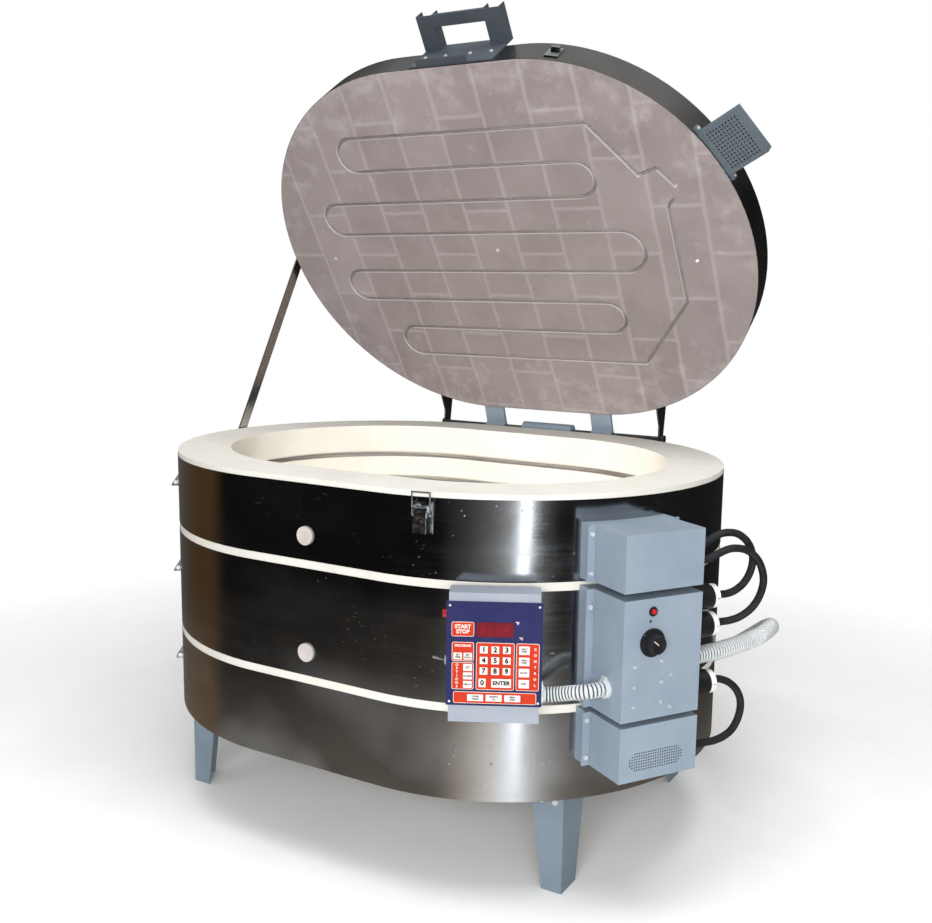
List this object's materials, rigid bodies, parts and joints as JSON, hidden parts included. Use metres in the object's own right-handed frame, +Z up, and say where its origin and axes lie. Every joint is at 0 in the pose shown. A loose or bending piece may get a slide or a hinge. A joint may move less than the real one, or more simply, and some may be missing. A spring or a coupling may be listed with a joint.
{
  "type": "electric kiln",
  "caption": "Oval sectional electric kiln with stacked stainless jackets, brick chamber, hinged heated lid on a support arm, side control boxes and key-panel controller on sheet-metal legs.",
  "frame": {"origin": "on the floor, under the middle of the oval chamber", "axes": "+X along the oval's long side, +Y to the back where the hinge is, +Z up"},
  "size_m": [1.392, 1.1312, 1.7121],
  "materials": {
    "stainless": "polished stainless sheet",
    "steel_hardware": "bright plated steel",
    "grey_paint": "blue-grey satin paint",
    "dark_paint": "dark slate paint",
    "lid_box_paint": "slate paint",
    "housing_paint": "light grey paint",
    "firebrick": "white insulating firebrick",
    "lid_firebrick": "grey used firebrick",
    "element_wire": "oxidised resistance wire",
    "porcelain": "unglazed porcelain",
    "black_plastic": "black",
    "white_plastic": "white",
    "cord_rubber": "black rubber",
    "conduit_metal": "bright ribbed metal",
    "panel_film": "printed blue film",
    "key_film": "white film keys",
    "display_red": "dark red window",
    "red_plastic": "red"
  },
  "bodies": {
    "kiln": {"leg_front_right": "grey_paint", "leg_front_left": "grey_paint", "leg_back_right": "grey_paint", "leg_back_left": "grey_paint", "stand_frame": "grey_paint", "upper_box_base": "grey_paint", "middle_box_base": "grey_paint", "lower_box_base": "grey_paint", "upper_box_cover": "grey_paint", "middle_box_cover": "grey_paint", "lower_box_cover": "grey_paint", "hinge_sleeve": "grey_paint", "bottom_pan": "stainless", "lower_jacket": "stainless", "middle_jacket": "stainless", "upper_jacket": "stainless", "floor_slab": "firebrick", "lower_brick_ring": "firebrick", "middle_brick_ring": "firebrick", "upper_brick_ring": "firebrick", "body_fasteners": "steel_hardware", "hinge_rod": "steel_hardware", "arm_bracket": "steel_hardware", "latch_plate": "steel_hardware", "ring_elements": "element_wire", "thermocouple": "porcelain", "selector_switch": "black_plastic", "power_relay": "black_plastic", "outlets": "black_plastic", "plugs": "black_plastic", "plug_caps": "white_plastic", "upper_cord": "cord_rubber", "middle_cord": "cord_rubber", "lower_cord": "cord_rubber", "conduit_connectors": "conduit_metal", "supply_conduit": "conduit_metal", "controller_conduit": "conduit_metal", "controller_housing": "housing_paint", "controller_panel": "panel_film", "keys": "key_film", "display_window": "display_red", "fuse_cap": "red_plastic", "pilot_light": "red_plastic"},
    "lid": {"lid_slab": "lid_firebrick", "lid_band": "stainless", "lid_element": "element_wire", "hinge_ears": "stainless", "hinge_straps": "grey_paint", "lid_fasteners": "steel_hardware", "lid_handle": "dark_paint", "lid_box": "lid_box_paint", "latch_keeper": "steel_hardware", "arm_stud": "steel_hardware"},
    "arm": {"support_arm": "stainless"},
    "lever": {"latch_lever": "steel_hardware"},
    "bail": {"latch_bail": "steel_hardware"},
    "knob": {"selector_knob": "black_plastic"},
    "toggle": {"toggle_lever": "steel_hardware"},
    "upper_plug": {"upper_peephole_plug": "porcelain"},
    "middle_plug": {"middle_peephole_plug": "porcelain"}
  },
  "joints": [
    {"name": "lid_hinge", "type": "hinge", "parent": "kiln", "child": "lid", "pos_m": [0, 0.52, 0.76], "axis": [1, 0, 0], "range_deg": [0, 56.6]},
    {"name": "arm_swing", "type": "hinge", "parent": "kiln", "child": "arm", "pos_m": [-0.625, 0.005, 0.7], "axis": [-1, 0, 0], "range_deg": [0, 113.2]},
    {"name": "latch_lever_turn", "type": "hinge", "parent": "kiln", "child": "lever", "pos_m": [0.24411, -0.46824, 0.738], "axis": [-0.9796, -0.2011, 0], "range_deg": [0, 150]},
    {"name": "latch_bail_turn", "type": "hinge", "parent": "lever", "child": "bail", "pos_m": [0.24411, -0.46824, 0.726], "axis": [0.9796, 0.2011, 0], "range_deg": [0, 150]},
    {"name": "selector_turn", "type": "hinge", "parent": "kiln", "child": "knob", "pos_m": [0.63214, -0.33449, 0.526], "axis": [0.8443, -0.5358, 0], "range_deg": [-150, 150]},
    {"name": "side_switch_flip", "type": "hinge", "parent": "kiln", "child": "toggle", "pos_m": [0.31103, -0.4864, 0.479], "axis": [0.4695, -0.8829, 0], "range_deg": [0, 24]},
    {"name": "upper_peephole_pull", "type": "slide", "parent": "kiln", "child": "upper_plug", "axis": [0, -1, 0], "range_m": [0, 0.09]},
    {"name": "middle_peephole_pull", "type": "slide", "parent": "kiln", "child": "middle_plug", "axis": [0, -1, 0], "range_m": [0, 0.09]}
  ],
  "couplings": [
    {"joint": "arm_swing", "follows": "lid_hinge", "ratio": 2},
    {"joint": "latch_bail_turn", "follows": "latch_lever_turn", "ratio": 1}
  ]
}
